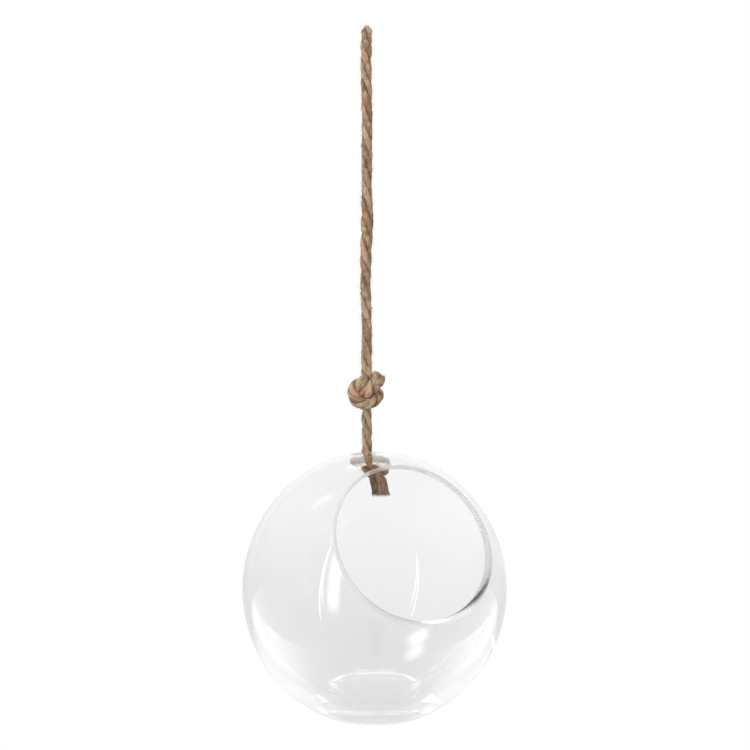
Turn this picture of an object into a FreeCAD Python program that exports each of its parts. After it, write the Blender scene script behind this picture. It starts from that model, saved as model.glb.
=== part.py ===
import FreeCAD, Part
import math
import os
from FreeCAD import Vector

os.makedirs("parts", exist_ok=True)

# Hanging glass globe vase on a knotted rope. Millimetres, +Z up.
# The origin is the crown of the hook inside the rope's loop, and the vase hangs below it.
# The round side opening faces -Y, turned towards +X and tipped upwards.

# rope
rope_diameter = 8.0
knotted_diameter = 6.4          # the same rope, drawn thinner where a knot squeezes it
strand_gap = 0.4                # air between neighbouring turns of a knot
hook_diameter = 12.0            # the hook that the loop hangs on
hook_to_knot = 272.3            # hook crown down to the middle of the upper knot
knot_tail_length = 4.6          # frayed cut end of the upper knot
knot_tail_diameter = 9.4
stopper_tail_length = 12.5      # frayed cut end below the stopper knot
stopper_tail_diameter = 11.0
joint_gap = 0.3                 # clearance where one piece turns or rests on another

# glass globe
knot_to_crown = 45.5            # middle of the upper knot down to the top of the globe
globe_offset_x = 6.0            # the top hole is drilled beside the globe's own axis
globe_offset_y = -4.0
globe_radius = 100.0
globe_stretch = 2.0             # half height over radius
crown_step = 2.0                # how much tighter than the globe's radius its top and bottom curve
foot_cut = 9.0                  # slice ground off the bottom
heel_radius = 12.0              # rounding between the foot and the side
side_wall = 6.5
top_wall = 3.0                  # the hollow sits high, so the wall grows towards the base
floor_thickness = 10.0          # glass between the foot plane and the inner floor
floor_corner_radius = 8.0
hole_diameter = 16.0            # rope hole in the top
hole_edge_radius = 0.6
opening_radius = 57.5           # round side opening, to the middle of its rim
opening_azimuth = 24.0          # degrees from -Y towards +X
opening_elevation = 32.0        # degrees above level
rim_edge_radius = 1.5           # fire-polished edges of the opening
overrun = 20.0                  # how far a cutter reaches past the glass
edge_reach = 0.1                # how near an edge must lie to count as the one looked for

turn_share = 0.45               # part of the shorter run that a bend takes up
swing_share = 1.76              # pitches from the upper knot's middle down to where the rope bends
leg_lead_share = 2.0            # pitches of straight leg above the upper knot
own_reach_share = 1.7           # diameters along the rope within which it may touch itself
rope_radius = rope_diameter / 2
knotted_radius = knotted_diameter / 2
pitch = knotted_diameter + strand_gap

globe_half_height = globe_radius + globe_stretch
crown_radius = globe_radius - crown_step
foot_drop = globe_half_height - foot_cut
cavity_radius = globe_radius - side_wall
cavity_lift = globe_half_height - top_wall - cavity_radius
globe_centre = Vector(
    globe_offset_x, globe_offset_y, -hook_to_knot - knot_to_crown - globe_half_height
)
knot_centre = Vector(0, 0, -hook_to_knot)

# Middle line of the hitch tied round the standing rope, in turns' pitches from the knot's middle.
loop_knot_shares = [
    (0, -1.24, 2.3), (0, -1.24, 1.3), (-1.1, -1.5, 0.95), (-1.6, -1.5, 0),
    (-1.25, -1.35, -0.95), (-0.15, -1.25, -1.5), (0.95, -0.95, -1.0), (1.35, 0.2, -0.2),
    (0.7, 1.2, 0.15), (-0.5, 1.2, 0.35), (-1.25, 0.35, 0.35), (-1.0, -0.65, 0.1),
    (-0.1, -1.25, -0.1), (0.75, -1.35, 0.65), (1.2, -1.35, 1.35),
]

# Middle line of the overhand stopper knot, in pitches from where the rope leaves the hole.
stopper_knot_shares = [
    (0, 0, 0), (0, 0, -1.85), (1.4, 0.25, -2.2), (2.35, -0.5, -1.05),
    (1.5, -1.9, -0.68), (0.35, -1.95, -0.68), (-0.95, -1.25, -0.68), (-1.4, 0.15, -0.68),
    (-0.5, 1.3, -0.68), (0.8, 1.1, -0.68), (1.15, 0, -0.62), (1.0, -0.85, -1.25),
    (1.05, -1.5, -1.95), (1.3, -1.4, -2.65),
]


def route_edges(points):
    """Straight runs joined by tangent arcs, and the radius of each arc."""
    edges = []
    radii = []
    here = points[0]
    for before, corner, after in zip(points, points[1:], points[2:]):
        run_in = corner - before
        run_out = after - corner
        half_turn = run_in.getAngle(run_out) / 2
        reach = turn_share * min(run_in.Length, run_out.Length)
        radius = reach / math.tan(half_turn)
        run_in.normalize()
        run_out.normalize()
        start = corner - run_in * reach
        end = corner + run_out * reach
        inward = (run_out - run_in).normalize()
        sag = radius / math.cos(half_turn) - radius
        edges.append(Part.LineSegment(here, start).toShape())
        edges.append(Part.Arc(start, corner + inward * sag, end).toShape())
        radii.append(radius)
        here = end
    edges.append(Part.LineSegment(here, points[-1]).toShape())
    return edges, radii


def rope_tube(name, points, diameter):
    """A round rope of one thickness along a route, with its bends and gap printed."""
    edges, radii = route_edges(points)
    wire = Part.Wire(edges)
    first_run = points[1] - points[0]
    section = Part.Wire(Part.makeCircle(diameter / 2, points[0], first_run))
    tube = wire.makePipeShell([section], True, False)
    plain_volume = math.pi * diameter ** 2 / 4 * wire.Length
    print(name, "length", round(wire.Length, 1), "bend radii", [round(r, 1) for r in radii])
    print(name, "volume / section x length", round(tube.Volume / plain_volume, 4))
    return tube


def print_least_gap(name, points, diameter):
    """Least air between stretches of one knot that are further apart along the rope than they touch."""
    edges, radii = route_edges(points)
    wire = Part.Wire(edges)
    spots = wire.discretize(Distance=strand_gap)
    step = wire.Length / (len(spots) - 1)
    apart = int(own_reach_share * diameter / step)
    least = min(
        (a - b).Length for i, a in enumerate(spots) for b in spots[i + apart:]
    )
    print(name, "least gap to itself", round(least - diameter, 2))


def placed(shares, origin):
    return [origin + Vector(*share) * pitch for share in shares]


def tuft(start, direction, length, end_diameter):
    """The frayed cut end of the rope, spreading from the rope's thickness."""
    return Part.makeCone(knotted_radius, end_diameter / 2, length, start, direction)


def outer_profile():
    """Half section of the globe's outer skin, from the axis over the side to the foot."""
    rise = globe_half_height - crown_radius
    step = globe_radius - crown_radius
    side_inset = (rise ** 2 - step ** 2) / (2 * step)
    side_radius = globe_radius + side_inset
    slope = math.atan2(rise, side_inset)
    join = Vector(crown_radius * math.cos(slope), 0, rise + crown_radius * math.sin(slope))
    top = Vector(0, 0, globe_half_height)
    half = (slope + math.pi / 2) / 2
    crown_mid = Vector(crown_radius * math.cos(half), 0, rise + crown_radius * math.sin(half))
    low_join = Vector(join.x, 0, -join.z)
    heel_z = heel_radius - foot_drop
    heel_x = math.sqrt((crown_radius - heel_radius) ** 2 - (heel_z + rise) ** 2)
    lean = math.atan2(heel_z + rise, heel_x)
    heel_top = Vector(crown_radius * math.cos(lean), 0, crown_radius * math.sin(lean) - rise)
    foot_edge = Vector(heel_x, 0, -foot_drop)
    low_half = (lean - slope) / 2
    low_mid = Vector(crown_radius * math.cos(low_half), 0, crown_radius * math.sin(low_half) - rise)
    heel_half = (lean - math.pi / 2) / 2
    heel_mid = Vector(
        heel_x + heel_radius * math.cos(heel_half), 0, heel_z + heel_radius * math.sin(heel_half)
    )
    foot_middle = Vector(0, 0, -foot_drop)
    return Part.Wire([
        Part.Arc(top, crown_mid, join).toShape(),
        Part.Arc(join, Vector(side_radius - side_inset, 0, 0), low_join).toShape(),
        Part.Arc(low_join, low_mid, heel_top).toShape(),
        Part.Arc(heel_top, heel_mid, foot_edge).toShape(),
        Part.LineSegment(foot_edge, foot_middle).toShape(),
        Part.LineSegment(foot_middle, top).toShape(),
    ])


def cavity_profile():
    """Half section of the hollow: a ball that stands on a flat inner floor."""
    floor_z = floor_thickness - foot_drop
    corner_z = floor_z + floor_corner_radius
    corner_x = math.sqrt(
        (cavity_radius - floor_corner_radius) ** 2 - (cavity_lift - corner_z) ** 2
    )
    lean = math.atan2(corner_z - cavity_lift, corner_x)
    top = Vector(0, 0, cavity_lift + cavity_radius)
    wall_end = Vector(
        cavity_radius * math.cos(lean), 0, cavity_lift + cavity_radius * math.sin(lean)
    )
    half = (lean - math.pi / 2) / 2
    corner_mid = Vector(
        corner_x + floor_corner_radius * math.cos(half),
        0,
        corner_z + floor_corner_radius * math.sin(half),
    )
    floor_edge = Vector(corner_x, 0, floor_z)
    floor_middle = Vector(0, 0, floor_z)
    return Part.Wire([
        Part.Arc(top, Vector(cavity_radius, 0, cavity_lift), wall_end).toShape(),
        Part.Arc(wall_end, corner_mid, floor_edge).toShape(),
        Part.LineSegment(floor_edge, floor_middle).toShape(),
        Part.LineSegment(floor_middle, top).toShape(),
    ])


def turned(profile):
    return Part.Face(profile).revolve(Vector(0, 0, 0), Vector(0, 0, 1), 360)


def opening_axis():
    azimuth = math.radians(opening_azimuth)
    elevation = math.radians(opening_elevation)
    return Vector(
        math.sin(azimuth) * math.cos(elevation),
        -math.cos(azimuth) * math.cos(elevation),
        math.sin(elevation),
    )


def edges_on(shape, test):
    real_edges = [edge for edge in shape.Edges if not edge.Degenerated]
    return [edge for edge in real_edges if all(test(p) for p in edge.discretize(Number=7))]


def make_globe():
    """Blown glass globe with a thick flat foot, a side opening and the rope hole in its top."""
    glass = turned(outer_profile()).cut(turned(cavity_profile()))

    lift_there = cavity_lift * math.sin(math.radians(opening_elevation))
    wall_middle = (globe_radius + cavity_radius + lift_there) / 2
    tilt = math.asin(opening_radius / wall_middle)
    reach = globe_half_height + overrun
    cutter = Part.makeCone(0, reach * math.tan(tilt), reach, Vector(0, 0, 0), opening_axis())
    glass = glass.cut(cutter)
    rim_edges = edges_on(
        glass, lambda p: abs(p.getAngle(opening_axis()) - tilt) < edge_reach / globe_radius
    )
    rim_edges = [edge for edge in rim_edges if edge.Length > hole_diameter]
    glass = glass.makeFillet(rim_edge_radius, rim_edges)

    hole_base = Vector(-globe_offset_x, -globe_offset_y, 0)
    drill = Part.makeCylinder(hole_diameter / 2, globe_half_height + overrun, hole_base)
    glass = glass.cut(drill)
    hole_edges = edges_on(
        glass,
        lambda p: abs((Vector(p.x, p.y, 0) - hole_base).Length - hole_diameter / 2) < edge_reach,
    )
    hole_edges = [edge for edge in hole_edges if edge.BoundBox.XLength > edge_reach]
    glass = glass.makeFillet(hole_edge_radius, hole_edges)
    glass.translate(globe_centre)
    return glass


def stopper_seat():
    """Height of the stopper knot's start at which its turns touch the glass round the hole."""
    seats = []
    for share in stopper_knot_shares[1:]:
        spot = Vector(*share) * pitch
        off_axis = math.hypot(spot.x - globe_offset_x, spot.y - globe_offset_y)
        ceiling = globe_centre.z + cavity_lift + math.sqrt(cavity_radius ** 2 - off_axis ** 2)
        seats.append(ceiling - knotted_radius - spot.z)
    return min(seats)


parts = {}

# where the rope leaves the hole into the stopper knot, and where it bends below the upper knot
swing_point = Vector(0, 0, knot_centre.z - swing_share * pitch)
core_end = Vector(0, 0, swing_point.z + rope_radius + joint_gap)
stopper_top = Vector(0, 0, stopper_seat())

# the loop: up from the knot's core, over the hook and down the front leg
hook_bend = hook_diameter / 2 + rope_radius
half_span = hook_bend / (2 * turn_share)
leg_join = knot_centre + Vector(0, loop_knot_shares[0][1], loop_knot_shares[0][2]) * pitch
loop_points = [
    core_end,
    Vector(0, 0, leg_join.z + pitch),
    Vector(0, half_span, rope_radius),
    Vector(0, -half_span, rope_radius),
    leg_join + Vector(0, 0, leg_lead_share * pitch),
    leg_join,
]
parts["hanging_loop"] = rope_tube("hanging_loop", loop_points, rope_diameter)

knot_points = placed(loop_knot_shares, knot_centre)
parts["loop_knot"] = rope_tube("loop_knot", knot_points, knotted_diameter)
print_least_gap("loop_knot", knot_points, knotted_diameter)
parts["loop_tail"] = tuft(
    knot_points[-1], knot_points[-1] - knot_points[-2], knot_tail_length, knot_tail_diameter
)

drop_end = stopper_top + Vector(0, 0, joint_gap)
drop = Part.makeCylinder(rope_radius, swing_point.z - drop_end.z, drop_end)
parts["rope_drop"] = drop.fuse(Part.makeSphere(rope_radius, swing_point)).removeSplitter()

stopper_points = placed(stopper_knot_shares, stopper_top)
parts["stopper_knot"] = rope_tube("stopper_knot", stopper_points, knotted_diameter)
print_least_gap("stopper_knot", stopper_points, knotted_diameter)
parts["stopper_tail"] = tuft(
    stopper_points[-1],
    stopper_points[-1] - stopper_points[-2],
    stopper_tail_length,
    stopper_tail_diameter,
)

parts["glass_globe"] = make_globe()

for name, shape in parts.items():
    print(name, "valid", shape.isValid(), "solids", len(shape.Solids), "volume", round(shape.Volume))
    shape.exportStep("parts/" + name + ".step")
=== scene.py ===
import math

import bmesh
import bpy
import numpy as np
from mathutils import Matrix, Vector


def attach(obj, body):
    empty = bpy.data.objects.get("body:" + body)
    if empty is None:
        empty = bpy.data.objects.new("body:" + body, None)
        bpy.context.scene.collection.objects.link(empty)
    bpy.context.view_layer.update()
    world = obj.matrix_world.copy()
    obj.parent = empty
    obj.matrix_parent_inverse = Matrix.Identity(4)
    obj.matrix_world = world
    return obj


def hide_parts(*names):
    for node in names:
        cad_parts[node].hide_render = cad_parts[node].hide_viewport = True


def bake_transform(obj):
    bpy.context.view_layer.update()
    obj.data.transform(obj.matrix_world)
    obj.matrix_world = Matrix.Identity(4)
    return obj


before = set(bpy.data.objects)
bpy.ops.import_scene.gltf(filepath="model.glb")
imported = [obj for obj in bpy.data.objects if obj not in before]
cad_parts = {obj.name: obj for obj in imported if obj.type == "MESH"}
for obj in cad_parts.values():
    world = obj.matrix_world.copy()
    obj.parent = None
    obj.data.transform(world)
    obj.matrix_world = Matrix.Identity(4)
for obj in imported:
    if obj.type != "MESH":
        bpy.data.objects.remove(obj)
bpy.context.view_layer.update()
print("frame loaded:", sorted(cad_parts))

mm = 0.001

view = {
    "place": (0.0063, -0.804, -0.2593),
    "lens": 50.4,
    "sensor": 36,  # square frame
    "tilt": 90,  # level, looking along +Y
    "near": 0.01,
    "far": 50,
}


def addCamera():
    data = bpy.data.cameras.new("photoCamera")
    data.lens = view["lens"]
    data.sensor_width = view["sensor"]
    data.clip_start = view["near"]
    data.clip_end = view["far"]
    camera = bpy.data.objects.new("photoCamera", data)
    camera.location = view["place"]
    camera.rotation_euler = (math.radians(view["tilt"]), 0, 0)
    bpy.context.scene.collection.objects.link(camera)
    bpy.context.scene.camera = camera


addCamera()
print("camera placed")

rope = {
    "diameter": 8.0,
    "drawn": 8.15,  # with the fluff of its surface
    "squeezed": 6.4,  # where the standing part runs through a knot
    "swollen": 9.25,  # opened out round the turns of a knot
    "pitch": 6.8,  # from one turn of a knot to the next
    "hookToKnot": 272.3,
    "hookToHole": 320.81,  # to the top of the stopper knot
    "hookBend": 10.0,  # radius of the rope's middle line round the hook
    "bendShare": 0.45,  # that radius over the distance of the route's top corners
    "straightFrom": 45.0,  # the legs run straight from here down
    "rearIn": 0.82,  # what is left there of the legs' distance at the hook
    "frontIn": 0.92,
    "belowKnot": 18.0,  # straight rope below the upper knot and above the hole
    "aboveHole": 12.0,
    "step": 1.0,
    "seed": 11,
    "seedGap": 100,  # to the rope below the upper knot
}
strand = {
    "count": 3,
    "around": 24,  # points round a strand
    "crowding": 0.35,  # more of the points on its outer side
    "share": 0.25,  # its radius over the rope's diameter
    "flatten": 0.06,
    "lay": 44.0,  # along the rope for one turn of a strand
    "tighter": 1.3,  # how much more the strands turn in a knot
    "slip": 0.3,  # how far the turns run ahead or behind
    "slipWave": 70,
    "stray": 0.03,  # how far a strand leaves its place
    "strayWave": 40,
    "uneven": 0.14,  # thick and thin places
    "unevenWave": 23,
    "seedGap": 10,
    "toneGap": 0.3,  # from one strand to the next
}
yarn = {
    "count": 7,
    "turns": 2,  # for one turn of the strand, so the yarns run along the rope
    "depth": 0.09,  # half a groove between yarns, over a strand's radius
    "sink": 1.3,  # the grooves go further in than the yarns stand out
}
unlaid = {"over": 4.0, "bow": 0.4}  # where cut strands come to hang side by side
waves = {"count": 4, "spacing": 0.83, "settle": 1.6}
sway = {  # millimetres below the hook, and millimetres to the right there
    "front": [
        (0, 0), (18, -0.8), (60, 0.3), (125, 0.1), (171, -1.0),
        (200, -0.8), (225, 0.4), (244, -0.5), (262, 0),
    ],
    "rear": [
        (0, 0), (18, -0.6), (60, 0.2), (118, -0.3), (138, 1.5),
        (158, 0.3), (190, -1.0), (225, 0.2), (262, 0),
    ],
}
swaySmooth = 12
knotMiddle = Vector((0, 0, -rope["hookToKnot"]))
halfSpan = rope["hookBend"] / (2 * rope["bendShare"])
ropeRadius = rope["diameter"] / 2

# both knots, in pitches from the knot's middle and from the hole
upperShares = [
    (0, -1.24, 2.3), (0, -1.24, 1.3), (-1.1, -1.5, 0.95), (-1.6, -1.5, 0),
    (-1.25, -1.35, -0.95), (-0.15, -1.25, -1.5), (0.95, -0.95, -1.0), (1.35, 0.2, -0.2),
    (0.7, 1.2, 0.15), (-0.5, 1.2, 0.35), (-1.25, 0.35, 0.35), (-1.0, -0.65, 0.1),
    (-0.1, -1.25, -0.1), (0.75, -1.35, 0.65), (1.2, -1.35, 1.35),
]
stopperShares = [
    (0, 0, 0), (0, 0, -1.85), (1.4, 0.25, -2.2), (2.35, -0.5, -1.05),
    (1.5, -1.9, -0.68), (0.35, -1.95, -0.68), (-0.95, -1.25, -0.68), (-1.4, 0.15, -0.68),
    (-0.5, 1.3, -0.68), (0.8, 1.1, -0.68), (1.15, 0, -0.62), (1.0, -0.85, -1.25),
    (1.05, -1.5, -1.95), (1.3, -1.4, -2.65),
]
stopperTop = Vector((0, 0, -rope["hookToHole"]))


def placed(shares, origin):
    return [origin + Vector(share) * rope["pitch"] for share in shares]


upperKnot = placed(upperShares, knotMiddle)
stopperKnot = placed(stopperShares, stopperTop)
legJoin = upperKnot[0]
loopRoute = [
    knotMiddle,
    Vector((0, 0, legJoin.z + rope["pitch"])),
    Vector((0, rope["rearIn"] * halfSpan, -rope["straightFrom"])),
    Vector((0, halfSpan, ropeRadius)),
    Vector((0, -halfSpan, ropeRadius)),
    Vector((0, -rope["frontIn"] * halfSpan, -rope["straightFrom"])),
    legJoin + Vector((0, 0, 2 * rope["pitch"])),
] + upperKnot
dropRoute = [
    knotMiddle,
    knotMiddle + Vector((0, 0, -rope["belowKnot"])),
    stopperTop + Vector((0, 0, rope["aboveHole"])),
] + stopperKnot


def smoothLine(points, fineness=32):
    curve = bpy.data.curves.new("route", "CURVE")
    curve.dimensions = "3D"
    curve.resolution_u = fineness
    spline = curve.splines.new("NURBS")
    spline.points.add(len(points) - 1)
    for target, point in zip(spline.points, points):
        target.co = (*(point * mm), 1)
    spline.order_u = 3
    spline.use_endpoint_u = True
    holder = bpy.data.objects.new("route", curve)
    bpy.context.scene.collection.objects.link(holder)
    bpy.context.view_layer.update()
    line = bpy.data.meshes.new_from_object(holder)
    found = np.array([v.co for v in line.vertices])
    bpy.data.objects.remove(holder)
    bpy.data.curves.remove(curve)
    bpy.data.meshes.remove(line)
    return found


def reachAlong(line):
    return np.append(0, np.cumsum(np.linalg.norm(np.diff(line, axis=0), axis=1)))


def spaced(line):
    reach = reachAlong(line)
    at = np.linspace(0, reach[-1], int(reach[-1] / mm / rope["step"]) + 1)
    return np.column_stack([np.interp(at, reach, line[:, k]) for k in range(3)])


def swayed(line):
    moved = line.copy()
    top = int(np.argmax(line[:, 2]))
    window = np.hanning(2 * swaySmooth + 1) / swaySmooth
    for part, rows in (("rear", slice(0, top)), ("front", slice(top, len(line)))):
        below, aside = np.array(sway[part]).T
        fine = np.arange(0, below[-1] + 1)
        rough = np.pad(np.interp(fine, below, aside), swaySmooth, "edge")
        smooth = np.convolve(rough, window, "valid")
        moved[rows, 0] += np.interp(-line[rows, 2] / mm, fine, smooth, right=0) * mm
    return moved


def wander(reach, wave, seed):
    shifts = np.random.default_rng(seed).uniform(0, 2 * math.pi, waves["count"])
    total = sum(
        np.sin(reach * 2 * math.pi * (1 + waves["spacing"] * k) / wave + shifts[k]) / (1 + k)
        for k in range(waves["count"])
    )
    return total / waves["settle"]


def unit(rows):
    return rows / np.linalg.norm(rows, axis=-1, keepdims=True)


def travelFrame(line, firstSide=(1, 0.2, 0)):
    ways = unit(np.gradient(line, axis=0))
    side = np.array(firstSide, float)
    sides = []
    for way in ways:
        side = unit(side - way * side.dot(way))
        sides.append(side)
    sides = np.array(sides)
    return ways, sides, np.cross(ways, sides)


def layReach(reach, thick):
    knotted = np.clip((thick - rope["drawn"]) / (rope["swollen"] - rope["drawn"]), 0, 1)
    rate = 1 + strand["tighter"] * knotted
    return np.append(0, np.cumsum(np.diff(reach) * rate[1:]))


def phaseOf(k, turned):
    return 2 * math.pi * k / strand["count"] - 2 * math.pi * turned / strand["lay"]


def sideBySide(middle, line, reach, heldFrom, place):
    grow = np.clip((reach - reach[heldFrom]) / unlaid["over"], 0, 1)[:, None]
    soft = grow * grow * (3 - 2 * grow)
    hung = line / mm + np.array([place, unlaid["bow"] * (1 - abs(place)), 0])
    return middle * (1 - soft) + hung * soft


def layStrands(line, thick, seed, heldFrom=None, apart=0):
    reach = reachAlong(line) / mm
    ways, sides, ups = travelFrame(line)
    even = np.linspace(-math.pi, math.pi, strand["around"], endpoint=False)
    angle = even - strand["crowding"] * np.sin(even)
    twist = yarn["turns"] * 2 * math.pi / strand["lay"]
    turned = layReach(reach, thick)
    count, half = strand["count"], strand["count"] // 2
    if heldFrom is not None:  # from here on the strands don't turn
        turned = np.minimum(turned, turned[heldFrom])
        order = list(np.argsort([math.cos(phaseOf(j, turned[heldFrom])) for j in range(count)]))
    strands = []
    for k in range(count):
        slip = strand["slip"] * wander(turned, strand["slipWave"], seed + k)
        phase = phaseOf(k, turned) + slip
        out = np.cos(phase)[:, None] * sides + np.sin(phase)[:, None] * ups
        stray = strand["stray"] * wander(reach, strand["strayWave"], seed + strand["seedGap"] + k)
        lift = strand["share"] * thick * (1 + stray)
        middle = line / mm + out * lift[:, None]
        if apart:
            middle = sideBySide(middle, line, reach, heldFrom, (order.index(k) - half) * apart)
        along = unit(np.gradient(middle, axis=0))
        across = unit(np.cross(along, out))
        out = np.cross(across, along)
        uneven = wander(reach, strand["unevenWave"], seed + 2 * strand["seedGap"] + k)
        radius = strand["share"] * thick * (1 + strand["uneven"] * uneven)
        turn = angle[None] - twist * reach[:, None]
        bulge = np.abs(np.cos(yarn["count"] * turn / 2)) * 2 - yarn["sink"]
        ripple = radius[:, None] * (1 + yarn["depth"] * bulge)
        ring = (
            middle[:, None]
            + (np.cos(angle) * ripple * (1 - strand["flatten"]))[..., None] * out[:, None]
            + (np.sin(angle) * ripple * (1 + strand["flatten"]))[..., None] * across[:, None]
        )
        strands.append({
            "ring": ring * mm,
            "u": turn / (2 * math.pi),
            "v": reach * mm,
            "facing": np.tile(np.cos(angle), (len(reach), 1)),
            # each strand's own tone; partOf adds painted light to it
            "toneAndPaintedLight": 0.5 + strand["toneGap"] * (k - half),
            "middle": middle * mm,
            "along": along,
        })
    return strands


def partOf(strands, first, last, paintedLight=0.0):
    kept = []
    for whole in strands:
        part = {
            key: value if np.isscalar(value) else value[first:last]
            for key, value in whole.items()
        }
        # painted light: the part's colour is made paler by this much
        part["toneAndPaintedLight"] += paintedLight
        kept.append(part)
    return kept


def addPiece(name, mesh):
    piece = bpy.data.objects.new(name, mesh)
    bpy.context.scene.collection.objects.link(piece)
    return piece


def skinStrands(name, tubes):
    points, faces, uvs, facing, toneAndPaintedLight = [], [], [], [], []
    for tube in tubes:
        ring = tube["ring"]
        count, around = ring.shape[:2]
        grid = sum(len(p) for p in points) + np.arange(count * around).reshape(count, around)
        right = np.roll(grid, -1, axis=1)
        quads = np.stack([grid[:-1], right[:-1], right[1:], grid[1:]], 2)
        faces += quads.reshape(-1, 4).tolist()
        u = tube["u"]
        nextU = np.concatenate([u[:, 1:], u[:, :1] + 1], axis=1)
        v = np.tile(tube["v"][:, None], (1, around))
        corners = [(u[:-1], v[:-1]), (nextU[:-1], v[:-1]), (nextU[1:], v[1:]), (u[1:], v[1:])]
        uvs.append(np.stack([np.stack(pair, -1) for pair in corners], 2).reshape(-1, 2))
        for row, end in ((grid[0][::-1], 0), (grid[-1], -1)):
            faces.append(row.tolist())
            uvs.append(np.tile([u[end, 0], tube["v"][end]], (around, 1)))
        points.append(ring.reshape(-1, 3))
        facing.append(tube["facing"].ravel())
        toneAndPaintedLight.append(np.full(count * around, tube["toneAndPaintedLight"]))
    mesh = bpy.data.meshes.new(name)
    mesh.from_pydata(np.concatenate(points), [], faces)
    layer = mesh.uv_layers.new(name="yarns")
    layer.data.foreach_set("uv", np.concatenate(uvs).astype(np.float32).ravel())
    for label, values in (("facing", facing), ("toneAndPaintedLight", toneAndPaintedLight)):
        attribute = mesh.attributes.new(label, "FLOAT", "POINT")
        attribute.data.foreach_set("value", np.concatenate(values).astype(np.float32))
    mesh.shade_smooth()
    return addPiece(name, mesh)


hair = {
    "steps": 5,
    "sides": 3,
    "taper": 0.75,  # part of its thickness that a hair loses to its tip
    "across": (0.3, 0.8, 0.52),  # a way in which hardly any hair grows
}


def hairs(name, roots, ways, lengths, radii, bends, steps=hair["steps"]):
    along = np.linspace(0, 1, steps)
    sides = hair["sides"]
    centre = (
        roots[:, None]
        + ways[:, None] * (lengths[:, None] * along)[..., None]
        + bends[:, None] * (lengths[:, None] * along ** 2)[..., None]
    )
    side = unit(np.cross(ways, np.array(hair["across"])))
    other = np.cross(ways, side)
    turns = np.arange(sides) * 2 * math.pi / sides
    ringWay = (
        np.cos(turns)[None, :, None] * side[:, None]
        + np.sin(turns)[None, :, None] * other[:, None]
    )
    thick = radii[:, None] * (1 - hair["taper"] * along)
    ring = centre[:, :, None] + thick[..., None, None] * ringWay[:, None]
    grid = np.arange(len(roots) * steps * sides).reshape(len(roots), steps, sides)
    right = np.roll(grid, -1, axis=2)
    quads = np.stack([grid[:, :-1], right[:, :-1], right[:, 1:], grid[:, 1:]], 3).reshape(-1, 4)
    caps = grid[:, -1].reshape(-1, sides)
    mesh = bpy.data.meshes.new(name)
    mesh.from_pydata(ring.reshape(-1, 3), [], quads.tolist() + caps.tolist())
    mesh.shade_smooth()
    return addPiece(name, mesh)


fuzz = {
    "perMillimetre": 5.0,
    "length": (1.5, 6.5),
    "shortest": 0.5,  # of the length drawn for a hair
    "radius": (0.045, 0.1),
    "lift": (0.05, 0.45),  # how far a hair leans away from the strand
    "scatter": 0.12,
    "curl": (-0.1, 0.35),
    "kink": 0.15,
    "inner": 4,  # points of a strand's inner side without hairs, at each end of its ring
    "seed": 5,
}


def fuzzOn(name, strands, first, last, density=1.0):
    rng = np.random.default_rng(fuzz["seed"] + first)
    count = int((last - first) * fuzz["perMillimetre"] * density)
    which = rng.integers(0, strand["count"], count)
    row = rng.integers(first, last, count)
    column = rng.integers(fuzz["inner"], strand["around"] - fuzz["inner"], count)
    roots = np.array([strands[k]["ring"][i, j] for k, i, j in zip(which, row, column)])
    middles = np.array([strands[k]["middle"][i] for k, i in zip(which, row)])
    along = np.array([strands[k]["along"][i] for k, i in zip(which, row)])
    along = along * rng.choice([-1, 1], count)[:, None]
    normal = unit(roots - middles)
    lean = normal * rng.uniform(*fuzz["lift"], count)[:, None]
    ways = unit(along + lean + rng.normal(0, fuzz["scatter"], (count, 3)))
    lengths = rng.uniform(*fuzz["length"], count) * rng.uniform(fuzz["shortest"], 1, count) * mm
    curl = normal * rng.uniform(*fuzz["curl"], count)[:, None]
    bends = curl + rng.normal(0, fuzz["kink"], (count, 3))
    return hairs(name, roots, ways, lengths, rng.uniform(*fuzz["radius"], count) * mm, bends)


def nodeChain(tree):
    nodes, links = tree.nodes, tree.links

    def add(kind, inputs=(), **values):
        node = nodes.new(kind)
        for key, value in values.items():
            setattr(node, key, value)
        for socket, value in dict(inputs).items():
            if isinstance(value, bpy.types.NodeSocket):
                links.new(value, node.inputs[socket])
            else:
                node.inputs[socket].default_value = value
        return node

    return add


def fade(add, value, start, end, low=0.0, high=1.0):
    inputs = {0: value, 1: start, 2: end, 3: low, 4: high}
    return add("ShaderNodeMapRange", inputs, interpolation_type="SMOOTHSTEP").outputs[0]


def compute(add, operation, *values):
    return add("ShaderNodeMath", dict(enumerate(values)), operation=operation).outputs[0]


def multiplied(add, first, second):
    inputs = {0: 1.0, 6: first, 7: second}
    return add("ShaderNodeMix", inputs, data_type="RGBA", blend_type="MULTIPLY").outputs[2]


def setValues(shader, values):
    for socket, value in values.items():
        shader.inputs[socket].default_value = value


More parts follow.
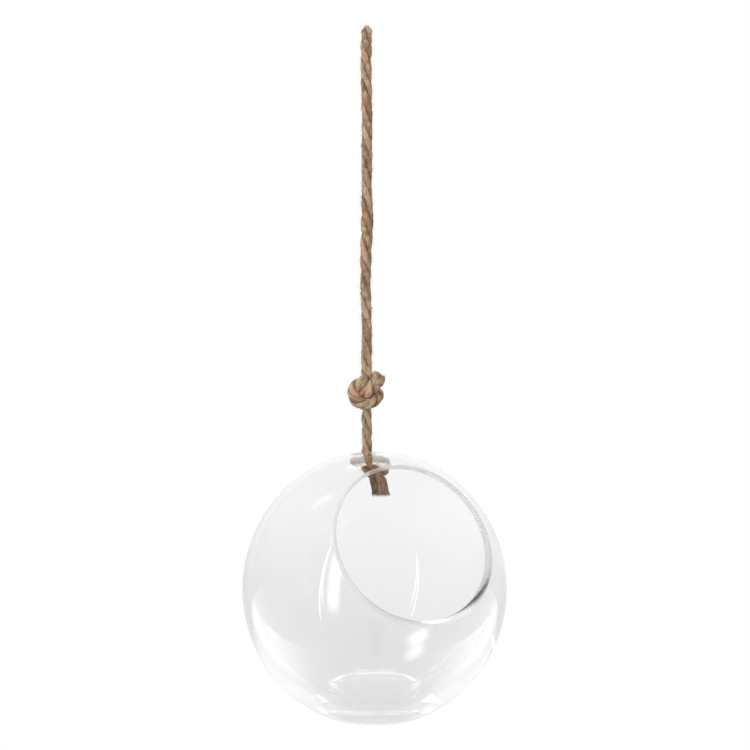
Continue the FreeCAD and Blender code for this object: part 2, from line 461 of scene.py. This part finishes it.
juteLook = {
    "dark": (0.16, 0.102, 0.06, 1),
    "middle": (0.285, 0.188, 0.12, 1),
    "light": (0.44, 0.31, 0.215, 1),
    "stops": (0.43, 0.55, 0.68),
    "streaks": {"Scale": 1.0, "Detail": 4.0, "Roughness": 0.65},
    "streakSpace": (7, 220, 1),  # round a strand, along it
    "patches": {"Scale": 260.0, "Detail": 2.0},
    "toneShare": 0.16,  # how far strands differ in their own tone, and how much paler the parts with painted light come out
    "grooveShade": 0.7,  # painted shade: how dark the colour gets between the strands
    # painted shade: darker still between the strands of the upper knot
    "knotGrooveShade": 0.3,
    "ridgeLight": 1.08,  # painted light: how light the colour gets on top of them
    "grooveSpan": (-0.2, 0.95),
    "bump": {"Strength": 0.7, "Distance": 0.0006},
    "stains": {"Scale": 130.0, "Detail": 2.0},
    "stainSpan": (0.4, 0.6),
    "reddish": (1.1, 0.96, 0.87, 1),
    "greyish": (0.93, 1.0, 0.97, 1),
    "plain": (1, 1, 1, 1),
    # painted light: a warmer, brighter cast for the stopper knot inside the glass
    "glassLightCast": (1.1, 0.99, 0.86, 1),
    # painted light: a slightly warmer cast for the upper knot, whose copy also has darker painted
    # shade in its grooves
    "knotLightCast": (1.0, 1.0, 0.95, 1),
    "surface": {"Roughness": 0.85, "Specular IOR Level": 0.25, "Sheen Weight": 0.15},
    "hair": {"Base Color": (0.34, 0.24, 0.16, 1), "Roughness": 0.7},
}


# the cast and the darkness in the grooves are painted light and shade, so a piece can get a lit or
# shaded copy of the jute
def juteMaterial(name, lightCast=juteLook["plain"], grooveShade=juteLook["grooveShade"]):
    material = bpy.data.materials.new(name)
    material.use_nodes = True
    tree = material.node_tree
    add = nodeChain(tree)
    uv = add("ShaderNodeUVMap", uv_map="yarns").outputs[0]
    space = add("ShaderNodeMapping", {0: uv, "Scale": juteLook["streakSpace"]}).outputs[0]
    place = add("ShaderNodeTexCoord").outputs["Object"]
    streaks = add("ShaderNodeTexNoise", {"Vector": space, **juteLook["streaks"]}).outputs[0]
    patches = add("ShaderNodeTexNoise", {"Vector": place, **juteLook["patches"]}).outputs[0]
    stains = add("ShaderNodeTexNoise", {"Vector": place, **juteLook["stains"]}).outputs[0]
    toneAndPaintedLight = add("ShaderNodeAttribute", attribute_name="toneAndPaintedLight").outputs["Fac"]
    toned = compute(add, "MULTIPLY", toneAndPaintedLight, juteLook["toneShare"])
    both = compute(add, "ADD", streaks, patches)
    level = compute(add, "MULTIPLY_ADD", both, 0.5, toned)
    hue = add("ShaderNodeValToRGB", {0: level})
    ramp = hue.color_ramp
    low, mid, high = juteLook["stops"]
    ramp.elements[0].position, ramp.elements[0].color = low, juteLook["dark"]
    ramp.elements[1].position, ramp.elements[1].color = high, juteLook["light"]
    ramp.elements.new(mid).color = juteLook["middle"]
    # painted shade and light: the colour is darker in the grooves and lighter on the strands' tops,
    # by how far each point faces out of its strand
    facing = add("ShaderNodeAttribute", attribute_name="facing").outputs["Fac"]
    shade = fade(add, facing, *juteLook["grooveSpan"], grooveShade, juteLook["ridgeLight"])
    stained = fade(add, stains, *juteLook["stainSpan"])
    hues = {0: stained, 6: juteLook["reddish"], 7: juteLook["greyish"]}
    mottle = add("ShaderNodeMix", hues, data_type="RGBA").outputs[2]
    colour = multiplied(add, multiplied(add, hue.outputs[0], shade), mottle)
    bump = add("ShaderNodeBump", {"Height": streaks, **juteLook["bump"]})
    shader = tree.nodes["Principled BSDF"]
    tree.links.new(multiplied(add, colour, lightCast), shader.inputs["Base Color"])
    tree.links.new(bump.outputs[0], shader.inputs["Normal"])
    setValues(shader, juteLook["surface"])
    return material


def plainMaterial(name, values):
    material = bpy.data.materials.new(name)
    material.use_nodes = True
    setValues(material.node_tree.nodes["Principled BSDF"], values)
    return material


jute = juteMaterial("juteRope")
# painted light: a brighter, warmer copy of the jute for the stopper knot inside the glass
jutePaintedLightInGlass = juteMaterial("jutePaintedLightInGlass", juteLook["glassLightCast"])
# painted shade: a copy of the jute for the upper knot, darker between its strands
jutePaintedShadeInKnot = juteMaterial("jutePaintedShadeInKnot", juteLook["knotLightCast"], juteLook["knotGrooveShade"])
juteHair = plainMaterial("juteHair", juteLook["hair"])


def asRope(piece, body, nodes=(), material=jute):
    piece.data.materials.append(material)
    if nodes:
        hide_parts(*nodes)
    if body:
        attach(piece, body)
    return piece


def splitAt(line, point):
    return int(np.argmin(np.linalg.norm(line - np.array(point) * mm, axis=1)))


def thickness(count, coreEnd, knotStart, endSwell=0.0, ease=10, endRun=24):
    rows = [0, coreEnd, coreEnd + ease, knotStart - ease / 2, knotStart + ease / 2, count]
    sizes = [rope["squeezed"]] * 2 + [rope["drawn"]] * 2 + [rope["swollen"]] * 2
    at = np.arange(count)
    return np.interp(at, rows, sizes) + np.interp(at, [count - endRun, count], [0, endSwell])


def tailLine(line, length, way=None, back=3):
    way = unit(line[-1] - line[-1 - back] if way is None else np.array(way))
    steps = np.arange(1, int(length / rope["step"]) + 1) * rope["step"] * mm
    return np.concatenate([line, line[-1] + way * steps[:, None]])


fray = {
    "radius": (0.1, 0.2),
    "root": 1.5,  # how deep in the strand a fibre starts
    "bend": 0.12,
    "steps": 4,
}


def frayedEnd(name, strands, settings):
    rng = np.random.default_rng(settings["seed"])
    roots, ways = [], []
    for whole in strands:
        middle, along = whole["middle"][-1], whole["along"][-1]
        ring = whole["ring"][-1]
        for n in range(settings["perStrand"]):
            inward = math.sqrt(rng.uniform(0, 1))
            out = ring[rng.integers(0, len(ring))] - middle
            flare = out / np.linalg.norm(out) * inward * settings["flare"]
            roots.append(middle + out * inward - along * fray["root"] * mm)
            ways.append(along + flare + rng.normal(0, settings["stray"], 3))
    count = len(roots)
    lengths = (fray["root"] + rng.uniform(*settings["length"], count)) * mm
    radii = rng.uniform(*fray["radius"], count) * mm
    bends = rng.normal(0, fray["bend"], (count, 3))
    return hairs(name, np.array(roots), unit(np.array(ways)), lengths, radii, bends, fray["steps"])


upperTail = {
    "core": 10,  # steps of squeezed rope inside the knot
    "swell": 2.2,
    "from": 4,  # steps of the knot that go with the tail
    "length": 3.0,
    "thick": 11.4,
    # painted light: the upper knot and its tail are coloured paler to stand in for light that
    # doesn't reach them
    "paintedLight": 0.3,
}
upperFray = {"perStrand": 70, "length": (0.6, 2.2), "flare": 0.35, "stray": 0.12, "seed": 21}
upperFuzz = {"from": 20, "density": 0.8}

loopLine = swayed(spaced(smoothLine(loopRoute)))
legEnd = splitAt(loopLine, legJoin)
loopThick = thickness(len(loopLine), upperTail["core"], legEnd, upperTail["swell"])
loopStrands = layStrands(loopLine, loopThick, rope["seed"])
longLine = tailLine(loopLine, upperTail["length"])
tailThick = np.full(len(longLine) - len(loopLine), upperTail["thick"])
tailStrands = layStrands(longLine, np.append(loopThick, tailThick), rope["seed"])
tailStart = len(loopLine) - upperTail["from"]

legPart = partOf(loopStrands, 0, legEnd + 1)
knotPart = partOf(loopStrands, legEnd, tailStart + 1, upperTail["paintedLight"])
tailPart = partOf(tailStrands, tailStart, len(longLine), upperTail["paintedLight"])
hangingLoop = asRope(skinStrands("hangingLoop", legPart), "loop", ["hanging_loop"])
loopKnot = asRope(skinStrands("loopKnot", knotPart), "loop", ["loop_knot"], jutePaintedShadeInKnot)
loopTail = asRope(skinStrands("loopTail", tailPart), "loop", ["loop_tail"])
loopFray = asRope(frayedEnd("loopFray", tailStrands, upperFray), "loop", material=juteHair)
loopFuzz = asRope(
    fuzzOn("loopFuzz", loopStrands, upperFuzz["from"], legEnd), "loop", material=juteHair,
)
knotFuzz = asRope(
    fuzzOn("knotFuzz", loopStrands, legEnd, len(loopLine), upperFuzz["density"]),
    "loop", material=juteHair,
)

tufts = {
    "places": [  # millimetres below the hook, side, hairs, length
        (124.5, -1, 16, 2.4),
        (197.5, -1, 22, 1.6),
        (208.5, 1, 12, 2.2),
    ],
    "out": 3.3,  # from the rope's middle line
    "spread": (0.4, 0.5),
    "rise": 0.1,
    "lean": (0.35, 0.4),
    "shortest": 0.6,
    "radius": (0.07, 0.13),
    "bend": 0.3,
    "seed": 31,
}


def strayTufts():
    rng = np.random.default_rng(tufts["seed"])
    roots, ways, lengths = [], [], []
    front = loopLine[int(np.argmax(loopLine[:, 2])):legEnd]
    deep, high = tufts["spread"]
    for below, side, count, length in tufts["places"]:
        spot = front[int(np.argmin(abs(front[:, 2] + below * mm)))]
        for n in range(count):
            offset = [side * tufts["out"], rng.normal(0, deep), rng.normal(0, high)]
            roots.append(spot + np.array(offset) * mm)
            across = rng.normal(0, tufts["lean"][0])
            ways.append((side * 1.0, across, rng.normal(tufts["rise"], tufts["lean"][1])))
            lengths.append(rng.uniform(tufts["shortest"], 1) * length * mm)
    count = len(roots)
    radii = rng.uniform(*tufts["radius"], count) * mm
    bends = rng.normal(0, tufts["bend"], (count, 3))
    ways = unit(np.array(ways))
    return hairs("strayTufts", np.array(roots), ways, np.array(lengths), radii, bends)


looseTufts = asRope(strayTufts(), "loop", material=juteHair)
loopLength = round(legEnd * rope["step"], 1)
print("loop and upper knot laid:", len(loopLine), "steps,", loopLength, "mm to the knot")

stopperTail = {
    "core": 8,
    "from": 6,
    "length": 10.3,
    "thick": 9.6,
    "apart": 4.1,  # from one hanging strand to the next
    "way": (0.17, 0.06, -1),
}
stopperFray = {"perStrand": 110, "length": (0.8, 2.6), "flare": 0.25, "stray": 0.1, "seed": 22}
lowerPaintedLight = {"drop": 0.45, "knot": 1.1, "tail": 0.35}  # painted light: how much paler than the loop these parts are coloured, to stand in for the light the globe keeps off them
lowerFuzz = {"knotFrom": 2, "density": 0.6, "dropFrom": 18, "dropTo": 4}

dropLine = spaced(smoothLine(dropRoute))
holeEnd = splitAt(dropLine, stopperTop)
dropLong = tailLine(dropLine, stopperTail["length"], stopperTail["way"])
dropThick = np.append(
    thickness(len(dropLine), stopperTail["core"], holeEnd),
    np.full(len(dropLong) - len(dropLine), stopperTail["thick"]),
)
unlaidFrom = len(dropLine) - stopperTail["from"]
dropSeed = rope["seed"] + rope["seedGap"]
dropStrands = layStrands(dropLong, dropThick, dropSeed, unlaidFrom, stopperTail["apart"])

dropPart = partOf(dropStrands, 0, holeEnd + 1, lowerPaintedLight["drop"])
stopperPart = partOf(dropStrands, holeEnd, unlaidFrom + 1, lowerPaintedLight["knot"])
endPart = partOf(dropStrands, unlaidFrom, len(dropLong), lowerPaintedLight["tail"])
ropeDrop = asRope(skinStrands("ropeDrop", dropPart), None, ["rope_drop"])
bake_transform(ropeDrop)
stopperKnotPiece = asRope(
    skinStrands("stopperKnot", stopperPart), "stopper", ["stopper_knot"], jutePaintedLightInGlass,
)
stopperTailPiece = asRope(skinStrands("stopperTail", endPart), "stopper", ["stopper_tail"])
stopperEnd = asRope(
    frayedEnd("stopperFray", dropStrands, stopperFray), "stopper", material=juteHair,
)
stopperFuzz = asRope(
    fuzzOn(
        "stopperFuzz", dropStrands, holeEnd + lowerFuzz["knotFrom"], unlaidFrom,
        lowerFuzz["density"],
    ),
    "stopper", material=juteHair,
)
dropFuzz = asRope(
    fuzzOn("dropFuzz", dropStrands, lowerFuzz["dropFrom"], holeEnd - lowerFuzz["dropTo"]),
    "drop", material=juteHair,
)

dropLength = round(holeEnd * rope["step"], 1)
print("drop and stopper knot laid:", len(dropLine), "steps,", dropLength, "mm to the hole")

globe = {
    "middle": (6.0, -4.0, -419.8),
    "radius": 100.0,
    "stretch": 2.0,  # taller than a ball by this above and below
    "crownStep": 2.0,  # crown and base are curved on a radius smaller by this
    "footCut": 9.0,  # taken off the bottom for the flat foot
    "heel": 12.0,  # rounding between base and foot
    "sideWall": 6.5,
    "topWall": 3.0,
    "floor": 10.0,
    "floorCorner": 8.0,
    "holeRadius": 8.0,
    "holeEdge": 0.8,  # rounding of the rope hole's edges
    "holeTurns": 96,
    "openingRadius": 57.5,  # to the middle of the rim
    "azimuth": 24.0,  # degrees the opening is turned to the right
    "elevation": 32.0,  # and tipped up
    "columns": 240,
    "rows": 120,
    "rimRows": 12,
    "rimReach": 98.2,  # from the globe's middle to the middle of the rim's thickness
    "rimSoftness": 0.45,  # blurs the lights that run round in the wall
    "holeReach": 101.5,  # from the globe's middle to the rope hole
    "hollowCurve": 94.0,  # radius of the wall's inner face at the rope hole
    "seamAngle": 110.0,  # from the top down to where the base's rings begin
    "seamGap": 0.004,  # radians left free there
}
skinSteps = {"crown": 200, "side": 400, "base": 60, "heel": 16, "foot": 12}
hollowSteps = {"ball": 600, "corner": 24, "floor": 20}


def arc(centre, radius, start, end, count):
    angles = np.radians(np.linspace(start, end, count))
    return [(centre[0] + radius * math.cos(a), centre[1] + radius * math.sin(a)) for a in angles]


def skinProfile(size):
    half = size["radius"] + size["stretch"]
    crown = size["radius"] - size["crownStep"]
    rise = half - crown
    inset = (rise ** 2 - size["crownStep"] ** 2) / (2 * size["crownStep"])
    slope = math.degrees(math.atan2(rise, inset))
    foot = half - size["footCut"]
    heelZ = size["heel"] - foot
    heelX = math.sqrt((crown - size["heel"]) ** 2 - (heelZ + rise) ** 2)
    lean = math.degrees(math.atan2(heelZ + rise, heelX))
    points = arc((0, rise), crown, 90, slope, skinSteps["crown"])
    points += arc((-inset, 0), size["radius"] + inset, slope, -slope, skinSteps["side"])[1:]
    points += arc((0, -rise), crown, -slope, lean, skinSteps["base"])[1:]
    points += arc((heelX, heelZ), size["heel"], lean, -90, skinSteps["heel"])[1:]
    points += [(heelX * (1 - t), -foot) for t in np.linspace(0, 1, skinSteps["foot"])[1:]]
    return np.array(points)


def hollowProfile(size):
    half = size["radius"] + size["stretch"]
    ball = size["radius"] - size["sideWall"]
    lift = half - size["topWall"] - ball
    floorZ = size["floor"] - half + size["footCut"]
    cornerZ = floorZ + size["floorCorner"]
    cornerX = math.sqrt((ball - size["floorCorner"]) ** 2 - (lift - cornerZ) ** 2)
    lean = math.degrees(math.atan2(cornerZ - lift, cornerX))
    points = arc((0, lift), ball, 90, lean, hollowSteps["ball"])
    points += arc((cornerX, cornerZ), size["floorCorner"], lean, -90, hollowSteps["corner"])[1:]
    points += [(cornerX * (1 - t), floorZ) for t in np.linspace(0, 1, hollowSteps["floor"])[1:]]
    return np.array(points)


def polar(profile):
    angle = np.arctan2(profile[:, 0], profile[:, 1])
    return angle, np.hypot(profile[:, 0], profile[:, 1])


def openingFrame(size):
    a, e = math.radians(size["azimuth"]), math.radians(size["elevation"])
    out = np.array([math.sin(a) * math.cos(e), -math.cos(a) * math.cos(e), math.sin(e)])
    right = np.array([math.cos(a), math.sin(a), 0])
    up = np.cross(right, out)
    up /= np.linalg.norm(up)
    return out, right, up if up[2] > 0 else -up


def reachAt(ways, table):
    return np.interp(np.arccos(np.clip(ways[:, 2], -1, 1)), table[0], table[1])


def shellRows(profile, size, turn, rimWays):
    table = polar(profile)
    seam = math.radians(size["seamAngle"])
    low = table[0] > seam + size["seamGap"]
    around = np.stack([np.sin(turn), -np.cos(turn)], 1)
    rows = []
    for r, z in profile[low][::-1]:
        rows.append(np.column_stack([around * max(r, 0), np.full(len(turn), z)]))
    start = np.column_stack([around * math.sin(seam), np.full(len(turn), math.cos(seam))])
    between = np.arccos(np.clip((start * rimWays).sum(1), -1, 1))[:, None]
    for t in np.linspace(0, 1, size["rows"]):
        ways = np.sin((1 - t) * between) * start + np.sin(t * between) * rimWays
        ways = ways / np.sin(between)
        rows.append(ways * reachAt(ways, table)[:, None])
    return rows


def lipBetween(outer, inner, toOpening, size):
    middle, half = (outer + inner) / 2, (outer - inner) / 2
    across = np.linalg.norm(half, axis=1)[:, None]
    angles = np.linspace(0, math.pi, size["rimRows"] + 2)[1:-1]
    return [middle + half * math.cos(a) + toOpening * across * math.sin(a) for a in angles]


def meshRows(rows, poles):
    made = bmesh.new()
    grid = [[made.verts.new(point) for point in row] for row in rows]
    count = len(rows[0])
    for above, below in zip(grid, grid[1:]):
        for i in range(count):
            k = (i + 1) % count
            made.faces.new((above[i], above[k], below[k], below[i]))
    for ring, pole in zip((grid[0], grid[-1]), poles):
        tip = made.verts.new(pole)
        for i in range(count):
            made.faces.new((ring[i], ring[(i + 1) % count], tip))
    bmesh.ops.recalc_face_normals(made, faces=made.faces)
    mesh = bpy.data.meshes.new("glassGlobe")
    made.to_mesh(mesh)
    made.free()
    return mesh


def blowGlobe(size):
    out, right, up = openingFrame(size)
    count = size["columns"]
    turn = np.arange(count) * 2 * math.pi / count
    way = -np.cos(turn)[:, None] * up + np.sin(turn)[:, None] * right
    outside, inside = skinProfile(size), hollowProfile(size)
    outsideTable, insideTable = polar(outside), polar(inside)

    tilt = np.full(count, math.asin(size["openingRadius"] / size["rimReach"]))
    rim = np.cos(tilt)[:, None] * out + np.sin(tilt)[:, None] * way
    wall = reachAt(rim, outsideTable) - reachAt(rim, insideTable)
    setBack = tilt + wall / 2 / size["rimReach"]
    ways = np.cos(setBack)[:, None] * out + np.sin(setBack)[:, None] * way
    faced = turn + math.radians(size["azimuth"])
    outer = shellRows(outside, size, faced, ways)
    inner = shellRows(inside, size, faced, ways)
    toOpening = np.sin(setBack)[:, None] * out - np.cos(setBack)[:, None] * way
    lip = lipBetween(outer[-1], inner[-1], toOpening, size)
    rows = outer[1:] + lip + inner[1:][::-1]
    mesh = meshRows(rows, (outer[0][0], inner[0][0]))
    onLip = np.zeros(len(mesh.vertices), np.float32)
    onLip[(len(outer) - 1) * count:(len(outer) - 1 + len(lip)) * count] = 1
    mesh.attributes.new("lip", "FLOAT", "POINT").data.foreach_set("value", onLip)

    piece = addPiece("glassGlobe", mesh)
    drillHole(piece, size, outsideTable, insideTable)
    mesh = piece.data
    normals = blownNormals(mesh, outside, inside)
    mesh.transform(Matrix.Translation(Vector(size["middle"])))
    mesh.transform(Matrix.Scale(mm, 4))
    mesh.shade_smooth()
    mesh.normals_split_custom_set_from_vertices(normals.tolist())
    onLip = np.zeros(len(mesh.vertices), np.float32)
    mesh.attributes["lip"].data.foreach_get("value", onLip)
    for face in mesh.polygons:
        face.material_index = int(onLip[list(face.vertices)].max() > 0.5)
    return piece


# exact normals on both faces of the wall, so that what shows through it isn't faceted
def blownNormals(mesh, outside, inside, closeness=0.01, least=0.001):
    points = np.array([v.co for v in mesh.vertices])
    normals = np.array([v.normal for v in mesh.vertices])
    across = np.hypot(points[:, 0], points[:, 1])
    down = np.arctan2(across, points[:, 2])
    around = points[:, :2] / np.maximum(across, least)[:, None]
    for profile, side in ((outside, 1), (inside, -1)):
        angle, reach = polar(profile)
        run = unit(np.gradient(profile, axis=0))
        out, up = np.interp(down, angle, -run[:, 1]), np.interp(down, angle, run[:, 0])
        exact = unit(np.column_stack([around * out[:, None], up]))
        off = abs(np.interp(down, angle, reach) - np.linalg.norm(points, axis=1))
        normals[off < closeness] = side * exact[off < closeness]
    return normals


# narrow in the middle, flared at both faces, so the cut leaves rounded edges
def spoolProfile(size, skinReach, hollowReach, overrun=5, settle=0.03, edgePoints=7):
    edge = size["holeEdge"]
    wide = size["holeRadius"] + edge
    skinCurve = size["radius"] - size["crownStep"]
    top = skinReach - wide ** 2 / (2 * skinCurve) + settle
    bottom = hollowReach - wide ** 2 / (2 * size["hollowCurve"]) - settle
    profile = [(wide, skinReach + overrun)]
    profile += arc((wide, top - edge), edge, 90, 180, edgePoints)
    profile += arc((wide, bottom + edge), edge, 180, 270, edgePoints)
    return profile + [(wide, hollowReach - overrun)]


def spoolMesh(profile, count):
    turns = np.linspace(0, 2 * math.pi, count, endpoint=False)
    made = bmesh.new()
    rings = [
        [made.verts.new((r * math.cos(a), r * math.sin(a), w)) for a in turns]
        for r, w in profile
    ]
    for above, below in zip(rings, rings[1:]):
        for i in range(count):
            k = (i + 1) % count
            made.faces.new((above[i], below[i], below[k], above[k]))
    made.faces.new(rings[0])
    made.faces.new(rings[-1][::-1])
    bmesh.ops.recalc_face_normals(made, faces=made.faces)
    mesh = bpy.data.meshes.new("spool")
    made.to_mesh(mesh)
    made.free()
    return mesh


def drillHole(piece, size, outsideTable, insideTable):
    aside = Vector((-size["middle"][0], -size["middle"][1], 0))
    down = math.asin(aside.length / size["holeReach"])
    skinReach = float(np.interp(down, *outsideTable))
    hollowReach = float(np.interp(down, *insideTable))
    axis = Vector((aside.x, aside.y, skinReach * math.cos(down))).normalized()
    spool = spoolMesh(spoolProfile(size, skinReach, hollowReach), size["holeTurns"])
    spool.transform(Vector((0, 0, 1)).rotation_difference(axis).to_matrix().to_4x4())
    cutter = addPiece("spool", spool)
    boolean = piece.modifiers.new("hole", "BOOLEAN")
    boolean.object = cutter
    boolean.operation = "DIFFERENCE"
    boolean.solver = "EXACT"
    bpy.context.view_layer.update()
    drilled = piece.evaluated_get(bpy.context.evaluated_depsgraph_get())
    finished = bpy.data.meshes.new_from_object(drilled)
    piece.modifiers.clear()
    piece.data = finished
    bpy.data.objects.remove(cutter)


glassLook = {
    "Base Color": (0.95, 0.952, 0.952, 1),
    "Roughness": 0.0,
    "IOR": 1.5,
    "Transmission Weight": 1.0,
}

glassGlobe = blowGlobe(globe)
glassGlobe.data.materials.append(plainMaterial("clearGlass", glassLook))
softRim = plainMaterial("softenedRim", {**glassLook, "Roughness": globe["rimSoftness"]})
glassGlobe.data.materials.append(softRim)
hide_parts("glass_globe")
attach(glassGlobe, "globe")
print("globe blown:", len(glassGlobe.data.vertices), "points")

lowMiddle = (0, 0, -0.42)
studio = {
    "floorZ": -1.15,
    "backdropY": 1.5,
    "wide": 3,
    "high": 2.5,
    "paper": {"Base Color": (0.85, 0.85, 0.85, 1), "Roughness": 0.9},
    "lamps": [
        # name, place, aimed at, width, height, watts, degrees of spread, seen in the glass
        ("leftStrip", (-0.72, -1.12, -0.12), lowMiddle, 0.36, 1.5, 6.0, 180, "reflected"),
        ("thinStrip", (-0.9, -0.93, -0.25), lowMiddle, 0.06, 1.6, 0.9, 180, "all"),
        ("topBox", (-0.48, -0.66, 0.52), (0, 0, -0.38), 0.5, 0.55, 3.5, 180, "reflected"),
        ("gridBox", (-0.255, 0.09, -0.046), (0.04, 0.08, -0.45), 0.28, 0.28, 0.03, 28, "through"),
        ("overhead", (0.0, 0.8, 0.54), (0, 0, -0.47), 0.7, 0.25, 0.9, 180, "through"),
    ],
    "lampEdges": (("X", 0.4), ("Y", 0.3)),  # part of a lamp that fades out
    "lampMiddle": 1.4,  # makes up for the faded edges
    "around": 0.95,
    "front": 0.75,  # the dimmer room behind the camera
    "frontSpan": (-1.0, -0.3),
    "asideSpan": (0.2, 0.6),  # from the middle of a sheet to its sides
}
glow = {  # how much the white lacks through the glass: along an axis, from, to, at both ends
    "floor": {
        "middle": ("Y", -0.6, studio["backdropY"], 0.28, 0.17),
        "sides": ("Y", -1.0, -0.2, 0.25, -0.12),
    },
    "backdrop": {
        "middle": ("Z", studio["floorZ"], -0.35, 0.17, 0.0),
        "sides": ("Z", studio["floorZ"], 0.3, 0.16, 0.0),
    },
}
lightPath = {"all": 64, "glossy": 60}  # light runs round inside the thick glass


def addLamp(name, place, target, width, height, watts, spread, seen):
    data = bpy.data.lights.new(name, "AREA")
    data.shape = "RECTANGLE"
    data.size = width
    data.size_y = height
    data.energy = watts
    data.spread = math.radians(spread)
    data.use_nodes = True
    tree = data.node_tree
    add = nodeChain(tree)
    spot = add("ShaderNodeNewGeometry").outputs["Parametric"]
    across = add("ShaderNodeSeparateXYZ", {0: spot})
    soft = 1.0
    for axis, edge in studio["lampEdges"]:
        other = compute(add, "SUBTRACT", 1.0, across.outputs[axis])
        near = compute(add, "MINIMUM", across.outputs[axis], other)
        soft = compute(add, "MULTIPLY", soft, fade(add, near, 0.0, edge, 0.0, studio["lampMiddle"]))
    tree.links.new(soft, tree.nodes["Emission"].inputs["Strength"])
    lamp = addPiece(name, data)
    lamp.location = place
    lamp.rotation_euler = (Vector(target) - Vector(place)).to_track_quat("-Z", "Y").to_euler()
    lamp.visible_camera = False
    lamp.visible_transmission = seen != "reflected"
    lamp.visible_glossy = seen != "through"


def seenBy(add, *rays):
    path = add("ShaderNodeLightPath")
    seen = path.outputs[rays[0]]
    for ray in rays[1:]:
        seen = compute(add, "MAXIMUM", seen, path.outputs[ray])
    return seen


def sheetMaterial(name, lacking):
    material = plainMaterial(name + "Paper", studio["paper"])
    tree = material.node_tree
    add = nodeChain(tree)
    axes = add("ShaderNodeSeparateXYZ", {0: add("ShaderNodeTexCoord").outputs["Object"]}).outputs
    sides, middle = [
        fade(add, axes[lacking[part][0]], *lacking[part][1:]) for part in ("sides", "middle")
    ]
    aside = compute(add, "ABSOLUTE", axes["X"])
    near = fade(add, aside, *studio["asideSpan"], 1.0, 0.0)
    lack = add("ShaderNodeMix", {0: near, 2: sides, 3: middle}).outputs[0]
    strength = compute(add, "SUBTRACT", 1.0, lack)
    rays = ["Is Glossy Ray", "Is Transmission Ray"]
    if name == "backdrop":  # white for the camera too, where the floor keeps its paper
        strength = compute(add, "MAXIMUM", strength, seenBy(add, "Is Camera Ray"))
        rays.append("Is Camera Ray")
    white = add("ShaderNodeEmission", {1: strength}).outputs[0]
    paper = tree.nodes["Principled BSDF"].outputs[0]
    mix = add("ShaderNodeMixShader", {0: seenBy(add, *rays), 1: paper, 2: white})
    tree.links.new(mix.outputs[0], tree.nodes["Material Output"].inputs[0])
    return material


def addStage():
    wide, high = studio["wide"], studio["high"]
    back, low = studio["backdropY"], studio["floorZ"]
    left, right = (-wide, back, low), (wide, back, low)  # where the two sheets meet
    sheets = {
        "floor": [(-wide, -wide, low), (wide, -wide, low), right, left],
        "backdrop": [left, right, (wide, back, high), (-wide, back, high)],
    }
    for name, corners in sheets.items():
        mesh = bpy.data.meshes.new(name)
        mesh.from_pydata(corners, [], [(0, 1, 2, 3)])
        mesh.materials.append(sheetMaterial(name, glow[name]))
        sheet = addPiece(name, mesh)


def addWorld():
    white = (1, 1, 1, 1)
    world = bpy.data.worlds.new("studioRoom")
    bpy.context.scene.world = world
    world.use_nodes = True
    tree = world.node_tree
    tree.nodes.clear()
    add = nodeChain(tree)
    axes = add("ShaderNodeSeparateXYZ", {0: add("ShaderNodeTexCoord").outputs["Generated"]}).outputs
    level = fade(add, axes["Y"], *studio["frontSpan"], studio["front"], studio["around"])
    room = add("ShaderNodeBackground", {0: white, 1: level}).outputs[0]
    plain = add("ShaderNodeBackground", {0: white, 1: 1.0}).outputs[0]
    mix = add("ShaderNodeMixShader", {0: seenBy(add, "Is Camera Ray"), 1: room, 2: plain})
    output = add("ShaderNodeOutputWorld")
    tree.links.new(mix.outputs[0], output.inputs[0])


for lampValues in studio["lamps"]:
    addLamp(*lampValues)
addStage()
addWorld()
bpy.context.scene.view_settings.view_transform = "Standard"
cycles = bpy.context.scene.cycles
cycles.max_bounces = lightPath["all"]
cycles.transmission_bounces = lightPath["all"]
cycles.glossy_bounces = lightPath["glossy"]
print("studio lit")
